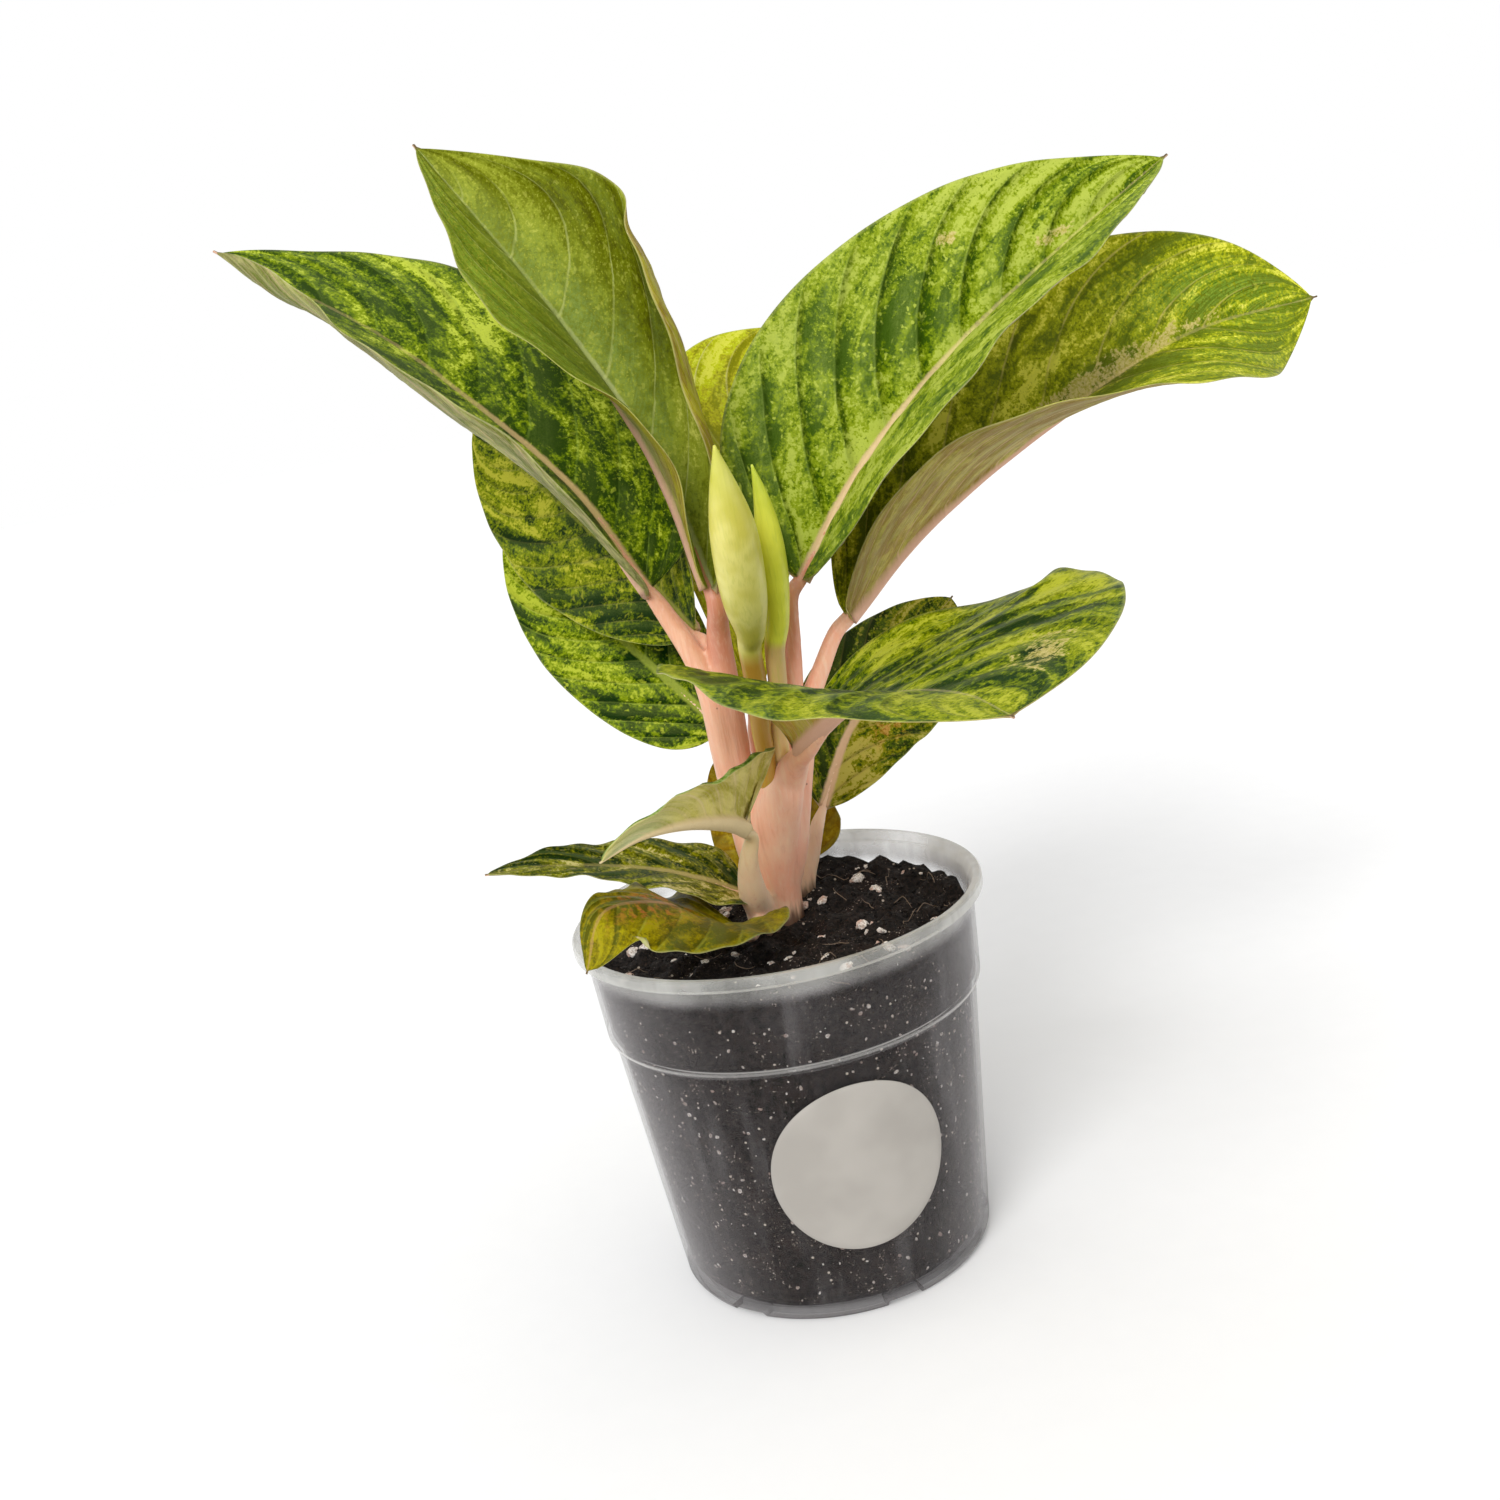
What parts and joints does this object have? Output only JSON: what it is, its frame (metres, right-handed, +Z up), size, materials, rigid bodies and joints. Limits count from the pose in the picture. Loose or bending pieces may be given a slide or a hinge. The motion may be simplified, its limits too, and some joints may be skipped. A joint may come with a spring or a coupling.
{
  "type": "potted apple green chinese evergreen",
  "caption": "Young chinese evergreen with broad mottled green leaves on pink stalks and closed spathes, growing in soil in a clear nursery pot.",
  "frame": {"origin": "centre of the pot's flat resting pad, at the level that the pot stands on", "axes": "+Z up the pot's axis, away from the surface it stands on; -Y towards the side with the low leaf that reaches forward; +X to the right seen from there"},
  "size_m": [0.3198, 0.291, 0.3352],
  "materials": {
    "clear_pot": "clear moulded plastic, slightly hazed",
    "soil": "damp fibrous potting soil with white perlite",
    "label": "bare satin sticker",
    "stem": "smooth pink stalk, faintly glossy, with small dark dots",
    "leaf_olive": "satin olive leaf with tan veins and yellow mottling",
    "leaf_dark": "satin dark green leaf, ribbed, with lime patches",
    "leaf_bright": "satin mid green leaf, mottled yellow-green",
    "leaf_lime": "satin yellow-lime leaf with a pale midrib",
    "leaf_brown": "satin olive-brown leaf with small dots",
    "spathe": "waxy yellow-green sheath"
  },
  "bodies": {
    "root": {"nursery_pot": "clear_pot", "potting_soil": "soil", "pot_label": "label", "stem_and_petioles": "stem", "side_shoot": "stem", "leaf_upper_left": "leaf_olive", "leaf_far_left": "leaf_dark", "leaf_upper_right": "leaf_dark", "leaf_far_right": "leaf_olive", "leaf_front_right": "leaf_bright", "leaf_back_left": "leaf_olive", "leaf_back_left_low": "leaf_bright", "leaf_back": "leaf_lime", "leaf_right_back": "leaf_dark", "leaf_front_low": "leaf_bright", "leaf_low_left": "leaf_olive", "leaf_over_rim": "leaf_lime", "leaf_behind_stem": "leaf_brown", "spathe_tall": "spathe", "spathe_short": "spathe"}
  },
  "joints": []
}
